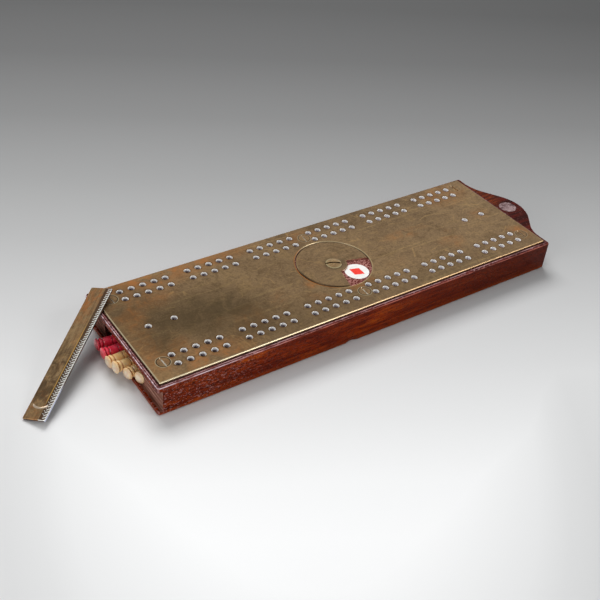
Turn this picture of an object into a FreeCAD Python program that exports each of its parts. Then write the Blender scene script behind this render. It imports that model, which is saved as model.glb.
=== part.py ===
import FreeCAD, Part
import math
import os

# Cribbage box: a hardwood block with a brass pegging plate, a rotating trump
# disc, a peg compartment in one end, its sliding brass end cover and six pegs.
# Millimetres.  Origin: centre of the block's underside.  +X runs along the
# board towards the thumb tab, +Z is up.

V = FreeCAD.Vector

# ---------------------------------------------------------------- dimensions
PLATE_L = 270.0                    # brass plate, length
PLATE_W = 84.4                     # brass plate, width
PLATE_T = 1.1                      # brass plate, thickness
PLATE_SKEW = (0.1, 0.7, 1.0, 0.4)  # corners inside that width, from the near open one
PLATE_ENDS = (0.6, -0.1)           # near and far corners past that length, tab end
RIM_OPEN = 2.35                    # wood beyond the plate at the open end
RIM_TAB = 3.3                      # at the tab end
RIM_NEAR = 2.35                    # along the near side
RIM_FAR = 0.7                      # along the far side
BLOCK_H = 19.0                     # wood block, height
BLOCK_W = PLATE_W + RIM_NEAR + RIM_FAR
TOP = BLOCK_H + PLATE_T            # playing surface
CORNER_R = 1.7                     # upright corners of the block
TOP_ROUND = 0.7                    # softened upper edge of the block
FOOT_ROUND = 1.4                   # softened lower edge of the block
X0 = -PLATE_L / 2.0 - RIM_OPEN     # open end
X1 = PLATE_L / 2.0 + RIM_TAB       # tab end
Y0 = -PLATE_W / 2.0 - RIM_NEAR
Y1 = PLATE_W / 2.0 + RIM_FAR

# peg holes: two rows near each long edge, six groups of five
ROW_SHIFT = 0.77                   # the drilled pattern sits a little off centre
ROW_EDGE = 8.45                    # outer rows, from the plate's long edges
ROW_GAP = 7.33                     # between the two rows of a pair
ROW_OUTER = PLATE_W / 2.0 - ROW_EDGE
ROW_INNER = ROW_OUTER - ROW_GAP
GROUPS = 6
PER_GROUP = 5
NEAR_PITCH = 7.13                  # hole spacing in a group, near rows
NEAR_FIRST = 15.2                  # first hole from the open end of the plate
NEAR_LAST = 14.0                   # last hole from its tab end
FAR_PITCH = 7.05                   # the same for the far rows
FAR_FIRST = 14.6
FAR_LAST = 16.1
HOLE_D = 3.2
HOLE_SINK_D = 3.75
HOLE_DEEP = 5.5                    # depth of a hole in the wood
GAME_DEEP = 2.6
GAME_A = (15.1, 0.4)               # game holes: from the open end, off the centre line
GAME_B = (30.4, 0.2)
GAME_C = (29.6, 0.2)               # and from the tab end
GAME_D = (14.7, 0.7)
GAME_HOLES = [(GAME_A[0] - PLATE_L / 2.0, GAME_A[1]), (GAME_B[0] - PLATE_L / 2.0, GAME_B[1]),
              (PLATE_L / 2.0 - GAME_C[0], GAME_C[1]), (PLATE_L / 2.0 - GAME_D[0], GAME_D[1])]

# slotted plate screws
SCREW_LAYOUT = [(-1, 8.9, -1, 13.6, 92.0), (0, 2.0, -1, 12.5, 87.0), (1, 7.3, -1, 13.2, 84.0),
                (-1, 7.6, 1, 11.7, 98.0), (0, 0.8, 1, 11.3, 82.0), (1, 9.3, 1, 8.7, 90.0)]
# each row: end, inset from it (or place along the middle), side, inset from it, slot angle
SCREWS = [(end * PLATE_L / 2.0 - (end or -1) * inset, side * (PLATE_W / 2.0 - edge), turn)
          for end, inset, side, edge, turn in SCREW_LAYOUT]
SCREW_HEAD_D = 7.3
SCREW_SHANK_D = 3.6
SCREW_LONG = 12.0
SCREW_CONE = 1.85                  # height of the countersunk head
FIT = 0.02                         # a fixed piece in its own seat

# trump disc, its pivot screw and the four roundels it uncovers
PIVOT = (1.7, 0.8)
OPENING = (1.5, 0.7)               # centre of the round opening in the plate
OPENING_R = 23.0
DISC_R = 22.5
DISC_T = PLATE_T
DISC_RIM = 0.5
HUB_R = 8.2
WINDOW_HUB = (-6.2, -93.7)         # corners of the window at the hub, degrees
WINDOW_RIM = (-11.3, -99.8)        # and at the rim
PIVOT_HEAD_R = 4.85
PIVOT_NECK_R = 3.45
PIVOT_SHANK_R = 2.0
PIVOT_RISE = 0.85                  # crown of the oval head
PIVOT_SLOT_W = 1.1
PIVOT_SLOT_TURN = -25.0
PIVOT_LONG = 12.5
RUN = 0.06                         # running clearance of the disc on its screw
ROUNDEL_R = 7.3
ROUNDEL_T = 2.0
ROUNDEL_OUT = 14.68                # roundel centres, from the pivot
ROUNDELS = [("diamonds", -54.0), ("hearts", 36.0), ("spades", 126.0), ("clubs", 216.0)]
SUIT_T = 0.6

# thumb tab and its dowel plug
TAB_BACK = 9.1                     # centre of the tab's round end, inside the end face
TAB_OFF = -0.8                     # and off the centre line
TAB_AT = (X1 - TAB_BACK, TAB_OFF)
TAB_R = 24.0
TAB_NEAR_LEAN = 37.0               # round end gives way to a straight flank here, degrees
TAB_FAR_LEAN = 33.0
TAB_NEAR_R = 18.0                  # hollows easing the flanks into the end face
TAB_FAR_R = 26.0
PLUG_OUT = 5.7                     # plug centre, beyond the end face
PLUG_OFF = 0.2
PLUG = (X1 + PLUG_OUT, PLUG_OFF)
PLUG_D = 11.6

# open end: groove for the end cover, and the peg compartment behind it
LIP_T = 1.25                       # wall in front of the groove
GROOVE_W = 1.4
LOWER_LIP = 3.3                    # height of the lower lip
UPPER_LIP = 3.1                    # depth of the upper lip
GROOVE_BITE = 0.45                 # the groove runs this far behind each lip
LIP_Z = (LOWER_LIP, BLOCK_H - UPPER_LIP)
GROOVE_Z = (LIP_Z[0] - GROOVE_BITE, LIP_Z[1] + GROOVE_BITE)
WALL_X = X0 + LIP_T + GROOVE_W     # recessed end wall
FLOOR_T = 3.4                      # wood under the compartment
ROOF_T = 4.1                       # wood over it
SIDE_T = 20.85                     # wood on its near side
FAR_SIDE_T = 19.1                  # wood on its far side
POCKET_DEEP = 59.7
POCKET_R = 3.0
POCKET_Y = (Y0 + SIDE_T, Y1 - FAR_SIDE_T)
POCKET_Z = (FLOOR_T, BLOCK_H - ROOF_T)
POCKET_END = WALL_X + POCKET_DEEP

# chipped spot low on the near side
CHIP_R = 8.4
CHIP_X = -15.4
CHIP_IN = 1.8                      # how far the chip bites into the side
CHIP_DOWN = 1.6                    # centre of its curve, below the foot
CHIP_AT = (CHIP_X, Y0 + CHIP_IN - CHIP_R, -CHIP_DOWN)

# end cover, lying loose across the open end
COVER_SHORT = 0.0                  # cover length under the block's width
COVER_PLAY = 0.3                   # height of the groove over the cover's width
COVER_SLIP = 0.2                   # width of the groove over the cover's thickness
COVER_L = BLOCK_W - COVER_SHORT
COVER_W = GROOVE_Z[1] - GROOVE_Z[0] - COVER_PLAY
COVER_T = GROOVE_W - COVER_SLIP
COVER_BEVEL = 0.28
COVER_CORNER = 0.8
COVER_AZ = 41.63                   # way it lies, from +X
COVER_ROLL = 14.42                 # tilt about its own length
COVER_OVER = 84.1                  # it rests on the plate this far from its lower end
COVER_IN = 1.3                     # and this far from the plate's corner
COVER_GAP = 0.1                    # clearance there
NICK_AT = 8.6                      # thumb nick, from the lower end
NICK_R = 6.2
NICK_W = 0.9
NICK_DEEP = 0.3

# pegs: head centre (out past the open end, along Y from the compartment's middle,
# above the height at which a barrel rests on the floor), swing towards +Y, lift of the tip
PEG_LONG = 25.6
PEG_HEAD_S = 0.6                   # head centre, from the outer face
PEG_HEAD_R = 3.5
PEG_BARREL_R = 2.75
PEG_CLEAR = 0.05                   # under a resting barrel
REST_Z = FLOOR_T + PEG_BARREL_R + PEG_CLEAR
POCKET_MID = (POCKET_Y[0] + POCKET_Y[1]) / 2.0
PEGS = [("peg_red_1", (6.78, 14.66, 0.0), -2.0, 0.0),
        ("peg_red_2", (6.95, 6.15, 0.0), 3.0, 0.0),
        ("peg_bone_1", (7.35, -1.15, 0.0), 6.0, 0.0),
        ("peg_bone_2", (6.56, -8.27, 1.60), 8.0, -6.0),
        ("peg_bone_3", (2.79, -14.66, 0.50), 16.0, -1.0),
        ("peg_bone_4", (-1.18, -20.66, 0.75), 22.0, -3.5)]
# outline of a turned peg: distance from the head's outer face, radius
PEG_OUTLINE = [(0.0, 0.0), (0.12, 1.5), (0.45, 2.7), (0.85, 3.32), (1.15, PEG_HEAD_R), (1.5, 3.4),
               (1.78, 2.95), (1.95, 2.35), (2.15, 2.35), (2.35, 2.85), (2.7, 3.15), (3.3, 3.2),
               (3.75, 3.0), (4.0, 2.5), (4.25, 2.35), (4.5, 2.5), (4.8, 2.7), (5.2, PEG_BARREL_R),
               (7.2, PEG_BARREL_R), (9.0, PEG_BARREL_R), (9.3, 2.45), (9.5, 2.3), (9.75, 2.5),
               (10.1, 2.65), (12.5, 2.65), (12.9, 2.45), (13.3, 1.85), (13.5, 1.5),
               (PEG_LONG - 0.5, 1.15), (PEG_LONG - 0.15, 0.9), (PEG_LONG, 0.5), (PEG_LONG, 0.0)]


# ------------------------------------------------------------------- helpers
def cylinder(radius, z_low, z_high, x, y):
    return Part.makeCylinder(radius, z_high - z_low, V(x, y, z_low), V(0, 0, 1))


def cone(r_low, r_high, z_low, z_high, x, y):
    return Part.makeCone(r_low, r_high, z_high - z_low, V(x, y, z_low), V(0, 0, 1))


def polar(centre, radius, degrees):
    a = math.radians(degrees)
    return (centre[0] + radius * math.cos(a), centre[1] + radius * math.sin(a))


def slab(points, z_low, z_high):
    # upright prism over a closed polygon
    outline = [V(x, y, z_low) for x, y in points]
    outline.append(outline[0])
    return Part.Face(Part.makePolygon(outline)).extrude(V(0, 0, z_high - z_low))


def box(x, y, z):
    # box from three (low, high) pairs
    return Part.makeBox(x[1] - x[0], y[1] - y[0], z[1] - z[0], V(x[0], y[0], z[0]))


def rounded_bar(x, y, z, radius):
    # bar along X with its four long edges rounded
    bar = box(x, y, z)
    along = [e for e in bar.Edges if abs(e.Vertexes[0].X - e.Vertexes[-1].X) > 1.0]
    return bar.makeFillet(radius, along)


def level_edges(shape, z):
    # every edge lying in one horizontal plane
    found = []
    for edge in shape.Edges:
        if all(abs(v.Z - z) < 1e-6 for v in edge.Vertexes):
            if abs(edge.BoundBox.ZMax - edge.BoundBox.ZMin) < 1e-6:
                found.append(edge)
    return found


def turned(outline):
    # solid of revolution about +X from (distance, radius) pairs
    points = [V(s, r, 0) for s, r in outline]
    points.append(points[0])
    face = Part.Face(Part.makePolygon(points))
    return face.revolve(V(0, 0, 0), V(1, 0, 0), 360.0)


def one_solid(shape):
    solids = shape.Solids
    assert len(solids) == 1, len(solids)
    return solids[0]


def save(shape, node):
    assert shape.isValid(), node
    shape.exportStep("parts/%s.step" % node)


# --------------------------------------------------------------- hole layout
def track_holes():
    # centres of the 120 track holes
    found = []
    for side, first, last, pitch in ((-1, NEAR_FIRST, NEAR_LAST, NEAR_PITCH),
                                     (1, FAR_FIRST, FAR_LAST, FAR_PITCH)):
        run = PLATE_L - first - last - (PER_GROUP - 1) * pitch
        group = run / (GROUPS - 1)
        for row in (ROW_INNER, ROW_OUTER):
            y = ROW_SHIFT + side * row
            for g in range(GROUPS):
                for k in range(PER_GROUP):
                    found.append((first - PLATE_L / 2.0 + g * group + k * pitch, y))
    return found


# ---------------------------------------------------------------- wood block
def tab_side(lean, radius, side):
    # one side of the tab: end of its round, end of its flank, middle and end of its hollow
    a = math.radians(lean)
    half = a / 2.0
    touch = (TAB_AT[0] + TAB_R * math.cos(a), TAB_AT[1] + side * TAB_R * math.sin(a))
    run = (touch[0] - X1 - radius * (1.0 - math.cos(a))) / math.sin(a)
    low = (touch[0] - run * math.sin(a), touch[1] + side * run * math.cos(a))
    centre = (X1 + radius, low[1] + side * radius * math.sin(a))
    middle = (centre[0] - radius * math.cos(half), centre[1] - side * radius * math.sin(half))
    return [V(x, y, 0) for x, y in (touch, low, middle, (X1, centre[1]))]


def block_outline():
    # plan of the block with the rounded tab at its far end
    r = CORNER_R
    q = r * (1.0 - math.sqrt(0.5))
    edges = []
    edges.append(Part.makeLine(V(X0 + r, Y0, 0), V(X1 - r, Y0, 0)))
    edges.append(Part.Arc(V(X1 - r, Y0, 0), V(X1 - q, Y0 + q, 0), V(X1, Y0 + r, 0)).toShape())
    near_touch, near_low, near_mid, near_end = tab_side(TAB_NEAR_LEAN, TAB_NEAR_R, -1)
    far_touch, far_low, far_mid, far_end = tab_side(TAB_FAR_LEAN, TAB_FAR_R, 1)
    tip = V(TAB_AT[0] + TAB_R, TAB_AT[1], 0)
    edges.append(Part.makeLine(V(X1, Y0 + r, 0), near_end))
    edges.append(Part.Arc(near_end, near_mid, near_low).toShape())
    edges.append(Part.makeLine(near_low, near_touch))
    edges.append(Part.Arc(near_touch, tip, far_touch).toShape())
    edges.append(Part.makeLine(far_touch, far_low))
    edges.append(Part.Arc(far_low, far_mid, far_end).toShape())
    edges.append(Part.makeLine(far_end, V(X1, Y1 - r, 0)))
    edges.append(Part.Arc(V(X1, Y1 - r, 0), V(X1 - q, Y1 - q, 0), V(X1 - r, Y1, 0)).toShape())
    edges.append(Part.makeLine(V(X1 - r, Y1, 0), V(X0 + r, Y1, 0)))
    edges.append(Part.Arc(V(X0 + r, Y1, 0), V(X0 + q, Y1 - q, 0), V(X0, Y1 - r, 0)).toShape())
    edges.append(Part.makeLine(V(X0, Y1 - r, 0), V(X0, Y0 + r, 0)))
    edges.append(Part.Arc(V(X0, Y0 + r, 0), V(X0 + q, Y0 + q, 0), V(X0 + r, Y0, 0)).toShape())
    return Part.Face(Part.Wire(edges))


def screw_body(x, y, spread):
    # countersunk wood screw without its slot; spread loosens it into a seat
    head = SCREW_HEAD_D / 2.0 + spread
    shank = SCREW_SHANK_D / 2.0 + spread
    top = cone(shank, head, TOP - SCREW_CONE, TOP, x, y)
    stem = cylinder(shank, TOP - SCREW_LONG + 2.5, TOP - SCREW_CONE, x, y)
    point = cone(0.4, shank, TOP - SCREW_LONG, TOP - SCREW_LONG + 2.5, x, y)
    return top.fuse([stem, point]).removeSplitter()


def pivot_body(spread):
    # the pivot screw below the playing surface, without crown or slot
    x, y = PIVOT
    head = PIVOT_HEAD_R + spread
    neck = PIVOT_NECK_R + spread
    shank = PIVOT_SHANK_R + spread
    seat = BLOCK_H - (neck - shank)
    upper = cone(neck, head, BLOCK_H, TOP, x, y)
    lower = cone(shank, neck, seat, BLOCK_H, x, y)
    stem = cylinder(shank, TOP - PIVOT_LONG + 2.5, seat, x, y)
    point = cone(0.4, shank, TOP - PIVOT_LONG, TOP - PIVOT_LONG + 2.5, x, y)
    return upper.fuse([lower, stem, point])


def wood_block():
    block = block_outline().extrude(V(0, 0, BLOCK_H))
    block = block.makeFillet(FOOT_ROUND, level_edges(block, 0.0))
    block = block.makeFillet(TOP_ROUND, level_edges(block, BLOCK_H))
    wide = (Y0 - 5.0, Y1 + 5.0)
    cuts = [box((X0 + LIP_T, WALL_X), wide, GROOVE_Z)]
    cuts.append(box((X0 - 5.0, X0 + LIP_T + 0.1), wide, LIP_Z))
    block = block.cut(cuts)
    pocket = rounded_bar((WALL_X - 0.5, POCKET_END), POCKET_Y, POCKET_Z, POCKET_R)
    block = block.cut(pocket)
    holes = []
    for x, y in track_holes():
        holes.append(cylinder(HOLE_D / 2.0, BLOCK_H - HOLE_DEEP, BLOCK_H + 1.0, x, y))
    for x, y in GAME_HOLES:
        holes.append(cylinder(HOLE_D / 2.0, BLOCK_H - GAME_DEEP, BLOCK_H + 1.0, x, y))
    for x, y, turn in SCREWS:
        holes.append(screw_body(x, y, FIT))
    holes.append(pivot_body(FIT))
    for name, angle in ROUNDELS:
        x, y = polar(PIVOT, ROUNDEL_OUT, angle)
        holes.append(cylinder(ROUNDEL_R + FIT, BLOCK_H - ROUNDEL_T, BLOCK_H + 1.0, x, y))
    holes.append(cylinder(PLUG_D / 2.0 + FIT, -1.0, BLOCK_H + 1.0, PLUG[0], PLUG[1]))
    block = block.cut(holes)
    chip = Part.makeSphere(CHIP_R, V(*CHIP_AT))
    block = block.cut(chip)
    return one_solid(block)


def tab_plug():
    x, y = PLUG
    plug = cylinder(PLUG_D / 2.0, 0.25, BLOCK_H - 0.05, x, y)
    return one_solid(plug.makeChamfer(0.2, level_edges(plug, BLOCK_H - 0.05)))


# --------------------------------------------------------------- brass plate
def brass_plate():
    end = PLATE_L / 2.0
    edge = PLATE_W / 2.0
    corners = [(-end, PLATE_SKEW[0] - edge), (end + PLATE_ENDS[0], PLATE_SKEW[1] - edge),
               (end + PLATE_ENDS[1], edge - PLATE_SKEW[2]), (-end, edge - PLATE_SKEW[3])]
    plate = slab(corners, BLOCK_H, TOP)
    upright = [e for e in plate.Edges if abs(e.Vertexes[0].Z - e.Vertexes[1].Z) > 0.5]
    plate = plate.makeFillet(0.7, upright)
    plate = plate.makeChamfer(0.3, level_edges(plate, TOP))
    cuts = []
    for x, y in track_holes() + GAME_HOLES:
        cuts.append(cylinder(HOLE_D / 2.0, BLOCK_H - 1.0, TOP + 1.0, x, y))
        sink = (HOLE_SINK_D - HOLE_D) / 2.0
        cuts.append(cone(HOLE_D / 2.0, HOLE_SINK_D / 2.0, TOP - sink, TOP, x, y))
    for x, y, turn in SCREWS:
        cuts.append(screw_body(x, y, FIT))
    x, y = OPENING
    cuts.append(cylinder(OPENING_R, BLOCK_H - 1.0, TOP + 1.0, x, y))
    cuts.append(cone(OPENING_R, OPENING_R + 0.25, TOP - 0.25, TOP, x, y))
    return one_solid(plate.cut(cuts))


def plate_screws():
    made = []
    for x, y, turn in SCREWS:
        screw = screw_body(x, y, 0.0)
        slot = box((-SCREW_HEAD_D, SCREW_HEAD_D), (-0.45, 0.45), (TOP - 0.8, TOP + 1.0))
        slot.rotate(V(0, 0, 0), V(0, 0, 1), turn)
        slot.translate(V(x, y, 0))
        made.append(one_solid(screw.cut(slot)))
    return Part.makeCompound(made)


# ---------------------------------------------------------------- trump disc
def trump_disc():
    x, y = PIVOT
    disc = cylinder(DISC_R, BLOCK_H, BLOCK_H + DISC_T, x, y)
    disc = disc.makeChamfer(DISC_RIM, level_edges(disc, BLOCK_H + DISC_T))
    fan = []
    for hub, rim in ((WINDOW_HUB[0], WINDOW_RIM[0]), (WINDOW_HUB[1], WINDOW_RIM[1])):
        inner = polar(PIVOT, HUB_R, hub)
        outer = polar(PIVOT, DISC_R, rim)
        step = (outer[0] - inner[0], outer[1] - inner[1])
        start = (inner[0] - 0.3 * step[0], inner[1] - 0.3 * step[1])
        end = (outer[0] + step[0], outer[1] + step[1])
        fan.append((start, end))
    corner = polar(PIVOT, 3.0 * DISC_R, (WINDOW_RIM[0] + WINDOW_RIM[1]) / 2.0)
    points = [PIVOT, fan[0][0], fan[0][1], corner, fan[1][1], fan[1][0]]
    window = slab(points, BLOCK_H - 1.0, TOP + 1.0)
    window = window.cut(cylinder(HUB_R, BLOCK_H - 2.0, TOP + 2.0, x, y))
    bore = cone(PIVOT_NECK_R + RUN, PIVOT_HEAD_R + 0.3, BLOCK_H, TOP, x, y)
    return one_solid(disc.cut([window, bore]))


def disc_pivot_screw():
    x, y = PIVOT
    body = pivot_body(0.0)
    ball = (PIVOT_HEAD_R ** 2 + PIVOT_RISE ** 2) / (2.0 * PIVOT_RISE)
    crown = Part.makeSphere(ball, V(x, y, TOP + PIVOT_RISE - ball))
    crown = crown.common(cylinder(PIVOT_HEAD_R, TOP, TOP + 2.0, x, y))
    body = body.fuse(crown).removeSplitter()
    half = PIVOT_SLOT_W / 2.0
    slot = box((-PIVOT_HEAD_R - 1.0, PIVOT_HEAD_R + 1.0), (-half, half), (TOP - 0.35, TOP + 2.0))
    slot.rotate(V(0, 0, 0), V(0, 0, 1), PIVOT_SLOT_TURN)
    slot.translate(V(x, y, 0))
    return one_solid(body.cut(slot))


# --------------------------------------------------- suit marks and roundels
def tangent_point(px, py, cx, cy, radius, side):
    # where a line from (px, py) touches a circle
    dx = cx - px
    dy = cy - py
    reach = math.hypot(dx, dy)
    swing = math.acos(radius / reach)
    base = math.atan2(-dy, -dx)
    a = base + side * swing
    return (cx + radius * math.cos(a), cy + radius * math.sin(a))


def heart(grow, z_low, z_high, flip):
    # two lobes and a point; flip turns it over for the spade
    r = 1.95 * grow
    cx = 1.75 * grow
    cy = 1.25 * grow
    tip = -4.3 * grow
    left = tangent_point(0.0, tip, -cx, cy, r, -1)
    right = tangent_point(0.0, tip, cx, cy, r, 1)
    lobes = [cylinder(r, z_low, z_high, -cx, flip * cy), cylinder(r, z_low, z_high, cx, flip * cy)]
    body = [(0.0, flip * tip), (right[0], flip * right[1]), (cx, flip * cy), (0.0, flip * cy),
            (-cx, flip * cy), (left[0], flip * left[1])]
    return slab(body, z_low, z_high).fuse(lobes).removeSplitter()


def stem(z_low, z_high):
    foot = [(-1.5, -4.6), (1.5, -4.6), (0.45, -2.6), (0.35, 0.2), (-0.35, 0.2), (-0.45, -2.6)]
    return slab(foot, z_low, z_high)


def suit_shape(name, z_low, z_high):
    # each mark is drawn upright with its centre at the origin
    if name == "diamonds":
        return slab([(0.0, 4.9), (-3.7, 0.0), (0.0, -4.9), (3.7, 0.0)], z_low, z_high)
    if name == "hearts":
        return heart(1.05, z_low, z_high, 1.0)
    if name == "spades":
        leaf = heart(0.95, z_low, z_high, -1.0)
        return leaf.fuse(stem(z_low, z_high)).removeSplitter()
    lobes = []
    for angle in (90.0, 210.0, 330.0):
        x, y = polar((0.0, 0.15), 2.15, angle)
        lobes.append(cylinder(1.85, z_low, z_high, x, y))
    core = cylinder(1.2, z_low, z_high, 0.0, 0.15)
    return core.fuse(lobes + [stem(z_low, z_high)]).removeSplitter()


def placed_suit(name, angle, z_low, z_high):
    mark = suit_shape(name, z_low, z_high)
    mark.rotate(V(0, 0, 0), V(0, 0, 1), angle - 90.0)
    x, y = polar(PIVOT, ROUNDEL_OUT, angle)
    mark.translate(V(x, y, 0))
    return one_solid(mark)


def roundel(name, angle):
    x, y = polar(PIVOT, ROUNDEL_OUT, angle)
    disc = cylinder(ROUNDEL_R, BLOCK_H - ROUNDEL_T, BLOCK_H, x, y)
    return one_solid(disc.cut(placed_suit(name, angle, BLOCK_H - SUIT_T, BLOCK_H + 1.0)))


# ----------------------------------------------------------------- end cover
def cover_placement():
    # the lower corner stands on the ground and one long edge rests on the plate's end
    a = math.radians(COVER_AZ)
    r = math.radians(COVER_ROLL)
    p = 0.0
    for step in range(40):
        drop = TOP / math.cos(p) + COVER_GAP * math.cos(r)
        p = math.atan2(drop, COVER_OVER)
    along = V(math.cos(a) * math.cos(p), math.sin(a) * math.cos(p), math.sin(p))
    flat = V(math.sin(a), -math.cos(a), 0)
    lift = flat.cross(along)
    across = flat * math.cos(r) + lift * math.sin(r)
    out = across.cross(along)
    rest = V(-PLATE_L / 2.0, PLATE_W / 2.0 - COVER_IN, TOP)
    at = rest - along * COVER_OVER + out * (COVER_GAP + COVER_T)
    return FreeCAD.Placement(at, FreeCAD.Rotation(across, along, V(0, 0, 1), "YXZ"))


def end_cover():
    # local frame: X across, Y along, outer face at Z = 0
    strip = box((0.0, COVER_W), (0.0, COVER_L), (-COVER_T, 0.0))
    upright = [e for e in strip.Edges if abs(e.Vertexes[0].Z - e.Vertexes[1].Z) > 0.5]
    strip = strip.makeFillet(COVER_CORNER, upright)
    strip = strip.makeChamfer(COVER_BEVEL, level_edges(strip, 0.0))
    x = COVER_W / 2.0
    outer = cylinder(NICK_R + NICK_W / 2.0, -NICK_DEEP, 1.0, x, NICK_AT + NICK_R)
    inner = cylinder(NICK_R - NICK_W / 2.0, -1.0, 1.5, x, NICK_AT + NICK_R)
    band = box((2.4, COVER_W - 2.4), (0.0, NICK_AT + NICK_R), (-1.0, 2.0))
    nick = outer.cut(inner).common(band)
    strip = one_solid(strip.cut(nick))
    strip.Placement = cover_placement()
    return strip


# ---------------------------------------------------------------------- pegs
def peg(head, swing, lift):
    out, aside, raised = head
    made = turned(PEG_OUTLINE)
    made.translate(V(-PEG_HEAD_S, 0, 0))
    made.rotate(V(0, 0, 0), V(0, 1, 0), -lift)
    made.rotate(V(0, 0, 0), V(0, 0, 1), swing)
    made.translate(V(X0 - out, POCKET_MID + aside, REST_Z + raised))
    return one_solid(made)


os.makedirs("parts", exist_ok=True)
save(wood_block(), "wood_block")
save(tab_plug(), "tab_plug")
save(brass_plate(), "brass_plate")
save(plate_screws(), "plate_screws")
save(trump_disc(), "trump_disc")
save(disc_pivot_screw(), "disc_pivot_screw")
for suit, at in ROUNDELS:
    save(roundel(suit, at), "roundel_" + suit)
    save(placed_suit(suit, at, BLOCK_H - SUIT_T, BLOCK_H), "suit_" + suit)
save(end_cover(), "end_cover")
for node, place, swing_deg, lift_deg in PEGS:
    save(peg(place, swing_deg, lift_deg), node)
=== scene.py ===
import bpy
import bmesh
import math
import random
from mathutils import Matrix, Vector


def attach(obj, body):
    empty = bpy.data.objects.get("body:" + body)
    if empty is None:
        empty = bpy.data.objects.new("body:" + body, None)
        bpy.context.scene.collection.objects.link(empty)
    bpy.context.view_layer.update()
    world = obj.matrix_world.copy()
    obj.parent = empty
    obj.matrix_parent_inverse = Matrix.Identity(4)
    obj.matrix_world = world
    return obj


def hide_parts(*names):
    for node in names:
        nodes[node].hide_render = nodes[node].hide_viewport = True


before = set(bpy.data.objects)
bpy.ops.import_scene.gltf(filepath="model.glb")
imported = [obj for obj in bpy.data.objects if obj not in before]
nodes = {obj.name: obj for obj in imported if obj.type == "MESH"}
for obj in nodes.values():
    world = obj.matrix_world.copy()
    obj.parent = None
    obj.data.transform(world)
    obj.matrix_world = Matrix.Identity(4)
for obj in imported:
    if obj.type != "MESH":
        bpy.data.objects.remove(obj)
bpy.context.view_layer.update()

# Looks of the cribbage box: materials on the CAD solids, and finer meshes for the end cover and
# the six pegs. Lengths are in mm on the frame's axes: +x to the thumb tab, +y to the far side,
# z up from the floor. Blender's own unit is the metre, so the noises' scales are per metre.
MM = 0.001


def lin(r, g, b):
    # 8-bit display colour to linear RGBA
    parts = [c / 12.92 if c <= 0.04045 else ((c + 0.055) / 1.055) ** 2.4
             for c in (r / 255.0, g / 255.0, b / 255.0)]
    return (*parts, 1.0)


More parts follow.
